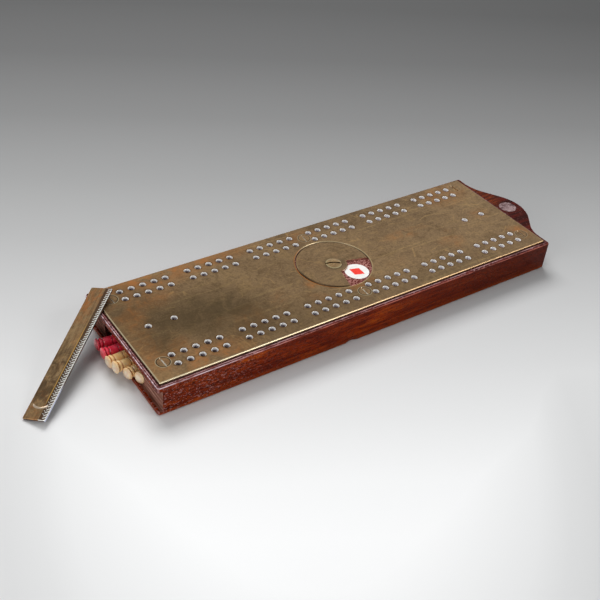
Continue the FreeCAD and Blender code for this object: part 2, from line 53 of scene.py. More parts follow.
# ----------------------------------------------------------------- node trees
class Mat:
    """A material, the colour painted on it so far, and short calls that add its nodes.

    A colour is a node's output or three 8-bit display values."""

    SOCKETS = {"rough": "Roughness", "metal": "Metallic", "coat": "Coat Weight",
               "coat_rough": "Coat Roughness", "spec": "Specular IOR Level", "normal": "Normal"}

    def __init__(self, name):
        self.m = bpy.data.materials.new(name)
        self.m.use_nodes = True
        self.t = self.m.node_tree
        self.t.nodes.clear()
        out = self.node("OutputMaterial")
        self.shader = self.node("BsdfPrincipled")
        self.put(out.inputs[0], self.shader.outputs[0])
        self.p = self.node("TexCoord").outputs["Object"]
        self.colour = None
        self._axes = None

    def node(self, kind, inputs=(), **settings):
        n = self.t.nodes.new("ShaderNode" + kind)
        for key, value in settings.items():
            setattr(n, key, value)
        for key, value in dict(inputs).items():
            self.put(n.inputs[key], value)
        return n

    def put(self, socket, value):
        if isinstance(value, bpy.types.NodeSocket):
            self.t.links.new(value, socket)
        else:
            socket.default_value = value

    def done(self, **values):
        self.put(self.shader.inputs["Base Color"], self.colour)
        for key, value in values.items():
            self.put(self.shader.inputs[self.SOCKETS[key]], value)
        return self.m

    # numbers
    def math(self, op, a, b=0.5, c=0.5, clamp=False):
        return self.node("Math", {0: a, 1: b, 2: c}, operation=op, use_clamp=clamp).outputs[0]

    def chain(self, op, values):
        total = values[0]
        for value in values[1:]:
            total = self.math(op, total, value)
        return total

    def mul(self, *values):
        return self.chain("MULTIPLY", values)

    def add(self, *values):
        return self.chain("ADD", values)

    def most(self, *values):
        return self.chain("MAXIMUM", values)

    def least(self, *values):
        return self.chain("MINIMUM", values)

    def sub(self, a, b):
        return self.math("SUBTRACT", a, b)

    def size(self, a):
        return self.math("ABSOLUTE", a)

    def step(self, value, low, high, to_low=0.0, to_high=1.0):
        # smooth from to_low at low to to_high at high, which may lie either way round
        inputs = dict(enumerate((value, low, high, to_low, to_high)))
        return self.node("MapRange", inputs, interpolation_type="SMOOTHSTEP").outputs[0]

    def above(self, value, edge, soft):
        return self.step(value, edge - soft, edge + soft)

    def below(self, value, edge, soft):
        return self.step(value, edge + soft, edge - soft)

    def band(self, value, at, none, full):
        # 1 within full of at, 0 beyond none
        return self.step(self.size(self.sub(value, at)), none, full)

    # vectors and places
    def vec(self, op, a, b=(0, 0, 0)):
        n = self.node("VectorMath", {0: a, 1: b}, operation=op)
        return n.outputs["Value" if op in ("LENGTH", "DOT_PRODUCT") else "Vector"]

    def split(self, v):
        return self.node("SeparateXYZ", {0: v}).outputs[:3]

    def join(self, x, y, z):
        return self.node("CombineXYZ", {0: x, 1: y, 2: z}).outputs[0]

    def axes(self):
        # x, y and z of the point, in mm
        if self._axes is None:
            self._axes = self.split(self.vec("MULTIPLY", self.p, (1000, 1000, 1000)))
        return self._axes

    def normal(self):
        return self.split(self.node("NewGeometry").outputs["True Normal"])

    def from_axis(self, x, y):
        # metres from a vertical axis at x, y, as a vector
        return self.vec("SUBTRACT", self.p, (x * MM, y * MM, 0))

    def radius(self, x, y):
        # mm from a vertical axis at x, y
        return self.vec("LENGTH", self.vec("MULTIPLY", self.from_axis(x, y), (1000, 1000, 0)))

    def spot(self, x, y, full, none, squash, turn, power):
        # power inside full of a vertical axis, fading to 0 at none; squashed, then turned
        v = self.place(self.from_axis(x, y), turn=turn, scale=(squash[0], squash[1], 0))
        return self.mul(self.step(self.vec("LENGTH", v), none * MM, full * MM), power)

    def place(self, v, move=(0, 0, 0), turn=0.0, scale=(1, 1, 1)):
        # turn is in degrees about z
        inputs = {0: v, "Location": move, "Rotation": (0, 0, math.radians(turn)), "Scale": scale}
        return self.node("Mapping", inputs).outputs[0]

    # patterns and colours
    def noise(self, scale, detail=3.0, rough=0.5, bend=0.0, v=None, stretch=(1, 1, 1), turn=0.0,
              seed=0.0):
        move = (0.37 * seed, 0.73 * seed, 0.19 * seed)
        v = self.place(self.p if v is None else v, move, turn, stretch)
        inputs = {"Scale": scale, "Detail": detail, "Roughness": rough, "Distortion": bend,
                  "Vector": v}
        return self.node("TexNoise", inputs).outputs["Fac"]

    def cells(self, scale, stretch, seed):
        v = self.place(self.p, (0.41 * seed, 0.53 * seed, 0.29 * seed), 0.0, stretch)
        return self.node("TexVoronoi", {"Scale": scale, "Vector": v}).outputs["Distance"]

    def tint(self, colour):
        return colour if isinstance(colour, bpy.types.NodeSocket) else lin(*colour)

    def mix(self, fac, a, b, how="MIX"):
        inputs = {0: fac, 6: self.tint(a), 7: self.tint(b)}
        return self.node("Mix", inputs, data_type="RGBA", blend_type=how).outputs[2]

    def paint(self, fac, colour):
        self.colour = self.mix(fac, self.colour, colour)

    def ramp(self, fac, stops):
        n = self.node("ValToRGB", {0: fac})
        marks = n.color_ramp.elements
        while len(marks) < len(stops):
            marks.new(0.5)
        for mark, (position, colour) in zip(marks, stops):
            mark.position = position
            mark.color = lin(*colour)
        return n.outputs[0]

    def bump(self, height, distance, strength):
        inputs = {"Strength": strength, "Distance": distance * MM, "Height": height}
        return self.node("Bump", inputs).outputs[0]


# ------------------------------------------------------- sizes shared with CAD
# the plate's edges, each a line: slope and offset
NEAR_EDGE, FAR_EDGE = (0.002217, -41.8), (-0.002223, 41.5)
OPEN_EDGE, TAB_EDGE = -135.0, (-0.008464, 135.25)
PIVOT, OPENING = (1.7, 0.8), (1.5, 0.7)
DISC_R, OPENING_LIP_R, UNDER_DISC_Z = 22.2, 23.35, 18.65
PIVOT_HEAD_R, PIVOT_SLOT_Z = 4.6, 20.275
SCREW_HEAD_R, SEAT_LINE_R, SEAT_LIP_R, SCREW_SLOT_Z = 3.6, 3.68, 4.0, 19.89
# each screw's x and y, and how clearly its lines show
SCREWS = [(-126.1, -28.6, 1.0), (2.0, -29.7, 0.95), (127.7, -29.0, 0.60),
          (-127.4, 30.5, 0.9), (0.8, 30.9, 0.80), (125.7, 33.5, 0.30)]
# x of the first hole from the open end, group pitch, hole pitch, and y of the two rows
NEAR_ROWS = (-119.8, 42.456, 7.13, -25.65, -32.98)
FAR_ROWS = (-120.4, 42.22, 7.05, 27.19, 34.52)
LAST_GROUP, LAST_HOLE = 5.0, 4.0
HOLE_R, HOLE_FLOOR_Z = 1.6, 12.4
GAME_HOLES = [(-119.9, 0.4), (-104.6, 0.2), (105.4, 0.2), (120.3, 0.7)]
# the end wall set back from the lips' outer face, and the slot between the lips
END_WALL_X, LIP_FACE_X, SLOT_FLOOR_Z, SLOT_TOP_Z = -134.6, -136.1, 2.75, 16.375
TAB_X = 137.0
# the peg compartment: mouth and rear, half width, floor and top
MOUTH_X, REAR_X, HALF_WIDE, FLOOR_Z, CEILING_Z = -134.4, -75.0, 24.4, 3.3, 14.975


def plate_edges(m):
    # mm inside the plate's near, far, open and tab edges
    x, y, _ = m.axes()
    near = m.sub(y, m.math("MULTIPLY_ADD", x, *NEAR_EDGE))
    far = m.sub(m.math("MULTIPLY_ADD", x, *FAR_EDGE), y)
    tab = m.sub(m.math("MULTIPLY_ADD", y, *TAB_EDGE), x)
    return near, far, m.sub(x, OPEN_EDGE), tab


def hole_distance(m):
    # mm from the axis of the nearest peg hole
    x, y, _ = m.axes()
    on_far = m.math("GREATER_THAN", y, 0.0)
    first, group, pitch, row_a, row_b = [
        m.math("MULTIPLY_ADD", on_far, far - near, near) for near, far in zip(NEAR_ROWS, FAR_ROWS)]

    def nearest(value, unit, last):
        # number of the nearest whole unit, from 0 to last
        return m.least(m.most(m.math("ROUND", m.math("DIVIDE", value, unit)), 0.0), last)

    along = m.sub(x, first)
    middle = m.mul(pitch, LAST_HOLE / 2)
    local = m.sub(along, m.mul(nearest(m.sub(along, middle), group, LAST_GROUP), group))
    dx = m.sub(local, m.mul(nearest(local, pitch, LAST_HOLE), pitch))
    dy = m.least(m.size(m.sub(y, row_a)), m.size(m.sub(y, row_b)))
    return m.least(m.vec("LENGTH", m.join(dx, dy, 0.0)), *[m.radius(*hole) for hole in GAME_HOLES])


# ----------------------------------------------------------------------- brass
def brass(name, seed, tone=1.0, spots=(), warm=0.0, scratch=1.0):
    # aged brass: mottled olive-brown patina, orange tarnish, wiping marks and curled scratches
    m = Mat(name)

    def toned(r, g, b):
        return r * tone, g * tone, b * tone

    cloud = m.noise(17, 4, 0.6, 0.5, seed=seed)
    patch = m.noise(80, 5, 0.66, 0.8, seed=seed + 1)
    fine = m.noise(420, 3, 0.6, seed=seed + 2)
    m.colour = m.ramp(cloud, [(0.32, toned(158, 126, 92)), (0.50, toned(188, 151, 111)),
                              (0.68, toned(206, 167, 122))])
    m.paint(m.step(patch, 0.50, 0.66, 0.0, 0.50), toned(140, 112, 76))
    m.paint(m.step(patch, 0.48, 0.34, 0.0, 0.40), toned(214, 170, 114))
    # rubbed lines in two directions
    wipe = m.noise(60, 4, 0.62, 0.15, stretch=(0.32, 7.0, 1.0), turn=12, seed=seed + 3)
    cross = m.noise(48, 4, 0.6, 0.4, stretch=(0.5, 9.0, 1.0), turn=-38, seed=seed + 4)
    m.paint(m.step(wipe, 0.53, 0.70, 0.0, 0.55 * scratch), toned(226, 186, 130))
    m.paint(m.step(cross, 0.58, 0.76, 0.0, 0.4 * scratch), toned(214, 174, 118))
    # grain
    m.paint(m.step(fine, 0.48, 0.64, 0.0, 0.32), toned(124, 97, 68))
    grit = m.noise(900, 3, 0.65, 0.4, seed=seed + 12)
    m.paint(m.step(grit, 0.52, 0.64, 0.0, 0.26), (236, 196 * tone, 142 * tone))
    m.paint(m.step(grit, 0.48, 0.36, 0.0, 0.28), toned(124, 96, 68))
    # curled scratches and short gold dabs
    curl = m.mul(m.band(m.noise(36, 1, 0.5, 1.6, seed=seed + 8), 0.5, 0.010, 0.003),
                 m.step(m.noise(62, 2, 0.5, seed=seed + 9), 0.50, 0.60))
    dab = m.noise(210, 4, 0.6, 1.2, stretch=(0.5, 1, 1), seed=seed + 10)
    dab = m.mul(m.step(dab, 0.60, 0.70),
                m.step(m.noise(26, 2, 0.5, seed=seed + 11), 0.47, 0.60))
    m.paint(m.most(m.mul(curl, 0.5 * scratch), m.mul(dab, 0.60)), toned(238, 192, 130))
    # orange tarnish where the spots say and in stray places, broken up by two noises
    broken = m.step(m.noise(190, 4, 0.65, 0.8, seed=seed + 5), 0.44, 0.66)
    ragged = m.step(m.noise(48, 3, 0.6, 1.0, seed=seed + 6), 0.32, 0.52)
    stray = m.step(m.noise(30, 2, 0.5, seed=seed + 7), 0.60, 0.78, warm, 0.40 + warm)
    where = m.most(*[m.spot(*spot) for spot in spots], stray)
    rust = m.math("MULTIPLY", where, m.math("MULTIPLY_ADD", broken, 0.55, 0.45), clamp=True)
    rust = m.mul(rust, ragged)
    m.paint(m.mul(rust, 0.85), (234, 156, 90))
    rough = m.add(m.step(patch, 0.3, 0.7, 0.34, 0.48), m.mul(rust, 0.12))
    return m, rough, rust, fine, wipe


# x, y, full radius, radius of nothing, squash, turn and power of each patch of tarnish
PLATE_TARNISH = [
    (-122.0, -24.0, 6.0, 22.0, (1.0, 1.0), 0, 0.8), (-104.0, -36.0, 5.0, 20.0, (0.5, 1.2), 0, 0.7),
    (-125.0, 12.0, 3.0, 12.0, (1.0, 0.6), 0, 0.9), (-127.0, -8.0, 2.0, 14.0, (1.2, 0.5), 0, 0.6),
    (-100.0, 38.5, 4.0, 24.0, (0.45, 1.6), 0, 1.25), (-60.0, 39.5, 3.0, 20.0, (0.5, 1.8), 0, 0.9),
    (-112.0, 22.0, 4.0, 15.0, (0.6, 1.0), 0, 0.6), (-96.0, 34.0, 2.0, 6.0, (1, 1), 0, 1.1),
    (-15.0, -6.0, 1.0, 9.0, (0.8, 1.0), 0, 0.6), (-22.0, -10.0, 1.0, 6.0, (1, 1), 0, 0.8),
    (1.0, -24.0, 1.0, 6.0, (0.6, 1.0), 0, 0.8), (12.0, -22.0, 1.0, 5.0, (1, 1), 0, 0.7),
    (0.0, 33.0, 2.0, 9.0, (0.6, 1.0), 0, 0.7), (60.0, 6.0, 1.0, 9.0, (0.4, 1.4), 25, 0.7),
    (119.0, 2.0, 1.0, 8.0, (0.7, 1), 0, 0.4), (128.0, -26.0, 3.0, 11.0, (1, 1), 0, 0.9),
    (112.0, 30.0, 4.0, 16.0, (0.6, 1), 0, 0.6), (-70.0, -18.0, 2.0, 14.0, (0.6, 1), 20, 0.5),
]
# the same for its smoky places: the big one on the open half, then what hands have darkened
PLATE_SMOKE = [
    (-86.0, -4.0, 4.0, 30.0, (0.62, 1.0), 14, 0.80), (-66.0, -22.0, 3.0, 22.0, (0.5, 1.0), 0, 0.45),
    (-122.0, 2.0, 4.0, 26.0, (1.0, 0.6), 0, 0.45), (-117.0, -18.0, 2.0, 14.0, (1, 1), 0, 0.45),
    (-120.0, 28.0, 3.0, 20.0, (1, 1), 0, 0.30), (-34.0, -33.0, 3.0, 30.0, (0.4, 1.4), 0, 0.35),
    (56.0, -36.0, 3.0, 34.0, (0.5, 2.4), 0, 0.35), (-34.0, 14.0, 5.0, 40.0, (0.5, 1), 0, 0.16),
]


def make_plate():
    m, rough, rust, fine, wipe = brass("aged_brass_plate", 2.0, spots=PLATE_TARNISH)
    x, y, _ = m.axes()
    _, _, up = m.normal()
    hole = hole_distance(m)
    near, far, end, tab = plate_edges(m)
    ragged = m.step(m.noise(70, 4, 0.6, 0.8, seed=50.0), 0.30, 0.60, 0.55, 1.0)
    for place in PLATE_SMOKE:
        m.paint(m.mul(m.spot(*place), ragged), (108, 88, 60))
    # grime round each hole
    ring = m.step(hole, HOLE_R + 1.6, HOLE_R + 0.2)
    m.paint(m.mul(ring, m.step(fine, 0.35, 0.6, 0.3, 0.85)), (132, 94, 58))
    # screw seats: a thin dark line of painted shade round each head, with a painted highlight on
    # the lip
    for sx, sy, power in SCREWS:
        r = m.radius(sx, sy)
        m.paint(m.mul(m.band(r, SEAT_LIP_R, 0.42, 0.14), 0.85 * power), (232, 208, 168))
        m.paint(m.mul(m.band(r, SEAT_LINE_R, 0.26, 0.08), power), (60, 44, 30))
    # lip of the disc's opening: a painted highlight, brighter on the near side, with orange tarnish
    # on the open side
    patchy = m.step(m.noise(60, 3, 0.6, seed=51.0), 0.30, 0.55, m.step(y, 4, -6, 0.25, 0.70), 0.95)
    lip_highlight = m.mul(m.band(m.radius(*OPENING), OPENING_LIP_R, 0.55, 0.15), patchy)
    m.paint(lip_highlight, m.mix(m.step(x, -4, -14), (240, 206, 150), (226, 140, 66)))
    # bright border, wear and a painted edge highlight, widest on the near side and the open end
    worn_and_highlit_border = m.most(m.mul(m.step(near, 0.95, 0.40), m.step(x, -100, 40, 0.90, 0.50)),
                  m.mul(m.step(far, 0.7, 0.2), 0.25),
                  m.mul(m.step(end, 0.80, 0.30), m.step(y, 20, 35, 1.0, 0.6)),
                  m.mul(m.step(tab, 0.8, 0.2), 0.55))
    gilt = m.mix(m.step(x, -90, 50), (255, 238, 200), (220, 184, 140))
    m.paint(worn_and_highlit_border, m.mix(m.step(end, 0.9, 0.7), gilt, (255, 232, 190)))
    # walls of the openings: bare bright metal, and the peg holes' walls painted white as a
    # highlight
    inside = m.mul(m.step(m.least(near, far), 0.6, 1.2), m.step(m.least(end, tab), 0.6, 1.2))
    wall = m.mul(m.step(up, 0.9, 0.6), inside)
    peg_wall_glint = m.mul(wall, m.step(hole, HOLE_R + 0.6, HOLE_R + 0.4))
    m.paint(wall, (196, 178, 150))
    m.paint(peg_wall_glint, (255, 255, 255))
    rough = m.math("MULTIPLY_ADD", m.most(worn_and_highlit_border, wall), m.sub(0.34, rough), rough)
    height = m.sub(m.add(m.mul(fine, 0.5), m.mul(wipe, 0.6)), m.mul(rust, 0.4))
    return m.done(metal=m.sub(1.0, peg_wall_glint), spec=0.5, rough=rough,
                  normal=m.bump(height, 0.06, 0.5))


def make_disc():
    m, rough, _, fine, wipe = brass("aged_brass_disc", 9.0, tone=0.97, warm=-0.1, scratch=0.7)
    _, y, _ = m.axes()
    _, _, up = m.normal()
    r = m.radius(*PIVOT)
    # turning marks, and a darker middle
    rings = m.noise(300, 2, 0.5, v=m.join(m.mul(r, 0.01), 0.0, 0.0), seed=3.0)
    m.paint(m.step(rings, 0.5, 0.75, 0.0, 0.3), (216, 184, 140))
    m.paint(m.mul(m.step(r, 9.0, 5.0), 0.4), (120, 100, 76))
    # bright rim, a painted highlight stronger on the far side, and painted shadow of the gap on the
    # side towards the open end and the near side
    m.paint(m.mul(m.step(r, 21.7, DISC_R), m.step(y, -12, 4, 0.15, 0.8)), (226, 196, 150))
    gap_shadow_side = m.math("DIVIDE", m.vec("DOT_PRODUCT", m.from_axis(*PIVOT), (-600.0, -800.0, 0.0)), r)
    m.paint(m.mul(m.step(r, 21.75, 22.0), m.step(gap_shadow_side, 0.25, 0.70, 0.0, 0.85)), (70, 52, 36))
    # cut sides: a painted highlight in the window, painted shade round the rim
    side = m.step(up, 0.5, 0.2)
    m.paint(m.mul(side, m.step(r, DISC_R, 21.9)), (225, 190, 170))
    m.paint(m.mul(side, m.step(r, DISC_R, 22.4)), (60, 40, 25))
    return m.done(metal=1.0, rough=rough, normal=m.bump(m.add(fine, wipe), 0.05, 0.5))


def make_screws():
    m, rough, _, fine, _ = brass("aged_brass_screws", 14.0, tone=0.98, warm=0.1)
    _, _, z = m.axes()
    for sx, sy, power in SCREWS:
        r = m.radius(sx, sy)
        # dark ring at the head's edge: painted shade in the gap round the head
        m.paint(m.mul(m.band(r, SCREW_HEAD_R, 0.30, 0.10), power), (66, 50, 36))
        # the floor of the slot, painted bright as a highlight
        slot = m.mul(m.step(r, SCREW_HEAD_R + 0.4, SCREW_HEAD_R + 0.2),
                     m.below(z, SCREW_SLOT_Z, 0.09), power)
        m.paint(slot, (255, 250, 240))
    return m.done(metal=1.0, rough=rough, normal=m.bump(fine, 0.06, 0.5))


def make_pivot():
    m, _, _, fine, _ = brass("worn_brass_pivot", 21.0, tone=1.08, warm=-0.2, scratch=1.2)
    _, _, z = m.axes()
    r = m.radius(*PIVOT)
    # painted shade in the slot and a painted highlight on the head's rim
    slot = m.mul(m.below(z, PIVOT_SLOT_Z, 0.075), m.step(r, PIVOT_HEAD_R, PIVOT_HEAD_R - 0.4))
    m.paint(slot, (70, 54, 40))
    m.paint(m.step(r, PIVOT_HEAD_R - 0.7, PIVOT_HEAD_R), (240, 215, 165))
    return m.done(metal=1.0, rough=0.32, normal=m.bump(fine, 0.05, 0.4))


# ------------------------------------------------------------------------ wood
def wood_skin(m):
    # long streaks and open pores; returns the noises and how deep the pores lie
    x, _, z = m.axes()
    warp = m.noise(14, 3, 0.5, 0.5, stretch=(0.35, 1, 1), seed=1.0)
    streak = m.noise(120, 5, 0.62, 0.5, stretch=(0.10, 1.4, 1.4), seed=2.0)
    thin = m.noise(560, 4, 0.6, 0.3, stretch=(0.11, 1.0, 1.2), seed=3.0)
    pore = m.noise(1250, 3, 0.6, 0.5, stretch=(0.42, 1.0, 1.0), seed=4.0)
    wide = m.noise(1400, 3, 0.6, 0.8, stretch=(0.50, 1.0, 1.0), seed=5.0)
    m.colour = m.ramp(m.add(m.mul(thin, 0.5), m.mul(streak, 0.5)), [
        (0.38, (72, 14, 0)), (0.46, (118, 32, 0)), (0.54, (160, 56, 2)), (0.64, (198, 88, 10))])
    m.paint(m.step(warp, 0.44, 0.66, 0.0, 0.45), (104, 24, 0))
    m.paint(m.step(x, -10, 110, 0.0, 0.70), (84, 24, 8))

    # open pores: short dashes along the grain, dark, and lilac flecks, old wax in the pores and
    # partly a painted speckle highlight
    left = m.step(x, -35, -120)
    zone = m.most(m.math("MULTIPLY_ADD", left, 0.94, 0.06),
                  m.step(m.noise(11, 2, seed=6.0), 0.50, 0.68, 0.04, 0.32))
    zone = m.mul(zone, m.step(z, 0.6, 3.4, 0.25, 1.0))
    dash = m.mul(m.step(pore, 0.51, 0.57), m.step(zone, 0.0, 1.0, 0.55, 1.0))
    m.paint(m.mul(dash, 0.85), (52, 10, 0))
    # a lighter foot under the lilac flecks
    m.paint(m.step(z, 4.2, 0.6, 0.0, 0.35), (196, 86, 16))
    wax_and_sparkle = m.mul(m.step(wide, 0.57, 0.63), zone)
    m.paint(m.mul(wax_and_sparkle, 0.85), m.mix(left, (150, 66, 48), (196, 142, 138)))
    return streak, thin, pore, wide, m.add(dash, wax_and_sparkle)


def wood_rim(m, thin):
    # ledge round the plate and over the upper lip: maroon
    x, y, z = m.axes()
    nx, ny, up = m.normal()
    outside = m.mul(m.least(*plate_edges(m)), -1.0)
    top = m.step(z, 17.5, 18.2)
    ledge = m.mul(m.step(up, 0.4, 0.9), top)
    m.paint(m.mul(ledge, 0.9), m.mix(m.step(thin, 0.42, 0.60), (58, 20, 20), (98, 40, 36)))
    # on it pale specks, a broken pale seam, and black painted shade in the crease at the plate's
    # foot
    speck = m.step(m.noise(1200, 3, 0.6, 0.4, stretch=(0.6, 0.8, 1), seed=7.0), 0.55, 0.65, 0, 0.55)
    m.paint(m.mul(ledge, m.step(y, 40, 34), speck), (190, 150, 150))
    gaps = m.noise(300, 4, 0.6, 0.5, stretch=(0.4, 1, 1), seed=12.0)
    seam = m.mul(ledge, m.step(y, 34, 28), m.band(outside, 1.15, 0.34, 0.10),
                 m.step(gaps, 0.40, 0.58, 0.15, 0.75))
    m.paint(seam, (204, 168, 172))
    shade_at_plate_foot = m.mul(ledge, m.step(outside, m.step(x, 128, 134, 0.75, 1.9), 0.40))
    m.paint(m.mul(shade_at_plate_foot, 0.85), (30, 10, 10))

    # painted highlight on the arris along the top and up the corners
    arris = m.mul(m.step(up, 0.22, 0.45), m.step(up, 0.96, 0.86), top)
    arris_highlight = m.noise(340, 4, 0.6, 0.5, stretch=(0.3, 1, 1), seed=9.0)
    arris_highlight = m.mul(m.step(arris_highlight, 0.40, 0.60, 0.22, 0.95), m.step(x, -60, 60, 1.0, 0.85))
    m.paint(m.mul(arris, arris_highlight), m.mix(m.step(x, -125, -45), (244, 216, 224), (200, 116, 100)))
    corner = m.mul(m.step(m.size(nx), 0.30, 0.55), m.step(m.size(ny), 0.30, 0.55),
                   m.step(m.size(x), 135.2, 135.8), m.step(x, 138.2, 137.8))
    m.paint(m.mul(corner, arris_highlight, 0.7), (190, 140, 136))
    return outside, arris


def wood_tab(m, streak, thin, pore, wide, outside, arris):
    # tab: redder and smoother, orange on its far shoulder
    x, y, _ = m.axes()
    on_tab = m.above(x, TAB_X, 1.0)
    dark = m.mix(m.step(streak, 0.42, 0.60), (46, 8, 4), (84, 20, 8))
    orange = m.mix(m.step(thin, 0.42, 0.60), (74, 26, 8), (112, 46, 14))
    skin = m.mix(m.mul(m.step(y, -2, 10), m.step(outside, 13, 6)), dark, orange)
    skin = m.mix(m.mul(m.step(pore, 0.56, 0.66), 0.6), skin, (44, 12, 8))
    skin = m.mix(m.mul(m.step(wide, 0.60, 0.70), m.step(y, 4, -6), 0.45), skin, (150, 96, 90))
    m.paint(m.mul(on_tab, 0.96), skin)
    # painted highlight on the tab's arris
    m.paint(m.mul(arris, on_tab, 0.30), (176, 108, 90))


def wood_bare(m, streak, wide):
    # end wall, slot and backs of the lips: unvarnished, pinkish, combed by the saw
    x, y, z = m.axes()
    cleft = m.mul(m.below(x, END_WALL_X, 0.05), m.above(x, LIP_FACE_X, 0.05),
                  m.above(z, SLOT_FLOOR_Z, 0.05), m.below(z, SLOT_TOP_Z, 0.075))
    comb = m.noise(260, 4, 0.65, 0.3, stretch=(1, 0.12, 2.2), seed=8.0)
    m.paint(cleft, m.ramp(comb, [(0.35, (104, 62, 50)), (0.50, (156, 106, 90)),
                                 (0.66, (206, 162, 146))]))
    # inside of the compartment: bare brown wood
    deep = m.mul(m.below(m.size(y), HALF_WIDE, 0.2), m.above(x, MOUTH_X, 0.2),
                 m.below(x, REAR_X, 0.5), m.above(z, FLOOR_Z, 0.1), m.below(z, CEILING_Z, 0.075))
    m.paint(deep, m.mix(m.step(streak, 0.42, 0.58), (96, 58, 46), (168, 122, 106)))
    # under the disc: dry and dusty
    under = m.mul(m.step(m.radius(*OPENING), 23.2, 22.9), m.above(z, UNDER_DISC_Z, 0.15))
    m.paint(under, m.mix(m.step(wide, 0.44, 0.60), (92, 38, 32), (186, 132, 124)))
    # bores: bare wood, painted dark deep down as shade and pale at the mouth as painted light,
    # paler towards the tab
    bore = m.mul(m.step(hole_distance(m), HOLE_R + 0.3, HOLE_R + 0.2),
                 m.above(z, HOLE_FLOOR_Z, 0.4))
    bore_mouth_light = m.mul(m.step(z, 16.8, 18.4), m.step(x, -80, 100, 0.35, 1.0))
    m.paint(bore, m.mix(bore_mouth_light, (84, 60, 66), (236, 228, 232)))
    return m.most(cleft, deep, under, bore)


def make_wood():
    # dark varnished mahogany, bare where it is cut or bored
    m = Mat("varnished_mahogany")
    streak, thin, pore, wide, pits = wood_skin(m)
    outside, arris = wood_rim(m, thin)
    wood_tab(m, streak, thin, pore, wide, outside, arris)
    dry = wood_bare(m, streak, wide)
    rough = m.add(m.step(streak, 0.3, 0.7, 0.38, 0.28), m.mul(dry, 0.4))
    height = m.add(m.sub(m.mul(thin, 0.5), m.mul(pits, 0.8)), m.mul(wide, 0.6))
    return m.done(rough=rough, coat=m.math("MULTIPLY_ADD", dry, -0.03, 0.03), coat_rough=0.2,
                  spec=0.05, normal=m.bump(height, 0.14, 0.8))


def make_end_grain():
    m = Mat("plug_end_grain")
    spot = m.cells(700, (1, 1, 0.2), seed=2.0)
    cloud = m.noise(240, 3, 0.6, 0.5, seed=3.0)
    m.colour = m.ramp(cloud, [(0.36, (74, 50, 52)), (0.5, (122, 98, 98)), (0.66, (166, 142, 142))])
    m.paint(m.step(spot, 0.38, 0.16, 0.0, 0.65), (74, 50, 50))
    return m.done(rough=0.6, spec=0.3, normal=m.bump(spot, 0.1, 0.5))


# ------------------------------------------------------------ roundels and marks
def make_bone(name, seed):
    m = Mat(name)
    grain = m.noise(500, 3, 0.6, 0.3, stretch=(0.3, 1, 1), turn=30, seed=seed)
    m.colour = m.ramp(grain, [(0.3, (236, 232, 224)), (0.6, (250, 249, 246)),
                              (0.8, (255, 255, 254))])
    return m.done(rough=0.3, spec=0.5, coat=0.2, coat_rough=0.1, normal=m.bump(grain, 0.03, 0.4))


def make_mark(name, colour, dark, seed):
    m = Mat(name)
    grain = m.noise(900, 3, 0.6, seed=seed)
    m.colour = m.mix(m.step(grain, 0.45, 0.75, 0.0, 0.4), colour, dark)
    return m.done(rough=0.42, normal=m.bump(grain, 0.03, 0.4))


def wear(node, material):
    mesh = nodes[node].data
    mesh.materials.clear()
    mesh.materials.append(material)


wear("brass_plate", make_plate())
wear("trump_disc", make_disc())
wear("plate_screws", make_screws())
wear("disc_pivot_screw", make_pivot())
wear("wood_block", make_wood())
wear("tab_plug", make_end_grain())
for i, suit in enumerate(("diamonds", "hearts", "spades", "clubs")):
    wear("roundel_" + suit, make_bone("roundel_bone_" + suit, 3.0 + i))
red_mark = make_mark("red_inlay", (244, 62, 48), (214, 40, 30), 5.0)
black_mark = make_mark("black_inlay", (30, 28, 28), (52, 48, 46), 6.0)
for suit, mark in (("diamonds", red_mark), ("hearts", red_mark),
                   ("spades", black_mark), ("clubs", black_mark)):
    wear("suit_" + suit, mark)


def mesh_object(name, verts, faces, material):
    me = bpy.data.meshes.new(name)
    me.from_pydata([tuple(v) for v in verts], [], faces)
    me.validate()
    me.materials.append(material)
    bm = bmesh.new()
    bm.from_mesh(me)
    bmesh.ops.recalc_face_normals(bm, faces=bm.faces)
    bm.to_mesh(me)
    bm.free()
    me.shade_smooth()
    ob = bpy.data.objects.new(name, me)
    bpy.context.scene.collection.objects.link(ob)
    return ob


# ------------------------------------------------------------------- the pegs
# distance along the axis from the crown of the head, and radius
PEG_OUTLINE = [(0.0, 0.0), (0.12, 1.5), (0.45, 2.7), (0.85, 3.32), (1.15, 3.5), (1.5, 3.4),
               (1.78, 2.95), (1.95, 2.35), (2.15, 2.35), (2.35, 2.85), (2.7, 3.15), (3.3, 3.2),
               (3.75, 3.0), (4.0, 2.5), (4.25, 2.35), (4.5, 2.5), (4.8, 2.7), (5.2, 2.75),
               (7.2, 2.75), (9.0, 2.75), (9.3, 2.45), (9.5, 2.3), (9.75, 2.5), (10.1, 2.65),
               (12.5, 2.65), (12.9, 2.45), (13.3, 1.85), (13.5, 1.5), (25.1, 1.15), (25.45, 0.9),
               (25.6, 0.5), (25.6, 0.0)]
OUTLINE_STEPS, PEG_SIDES, THINNEST = 4, 64, 0.02
# from the crown to the point that PEGS gives, and a radius a hair under the solid's
PEG_HEAD_S, PEG_FIT = 0.6, 0.992
# the dark grooves' places along the axis
GROOVES_S = (1.45, 3.7, 8.9)
# name, head's centre, swing towards +y and lift of the tip in degrees, seed of the colours
PEGS = [("peg_red_1", (-144.13, 14.71, 6.20), -2.0, 0.0, 30.0),
        ("peg_red_2", (-144.30, 6.20, 6.20), 3.0, 0.0, 31.0),
        ("peg_bone_1", (-144.70, -1.10, 6.20), 6.0, 0.0, 32.0),
        ("peg_bone_2", (-143.91, -8.22, 7.80), 8.0, -6.0, 33.0),
        ("peg_bone_3", (-140.14, -14.61, 6.70), 16.0, -1.0, 34.0),
        ("peg_bone_4", (-136.17, -20.61, 6.95), 22.0, -3.5, 35.0)]


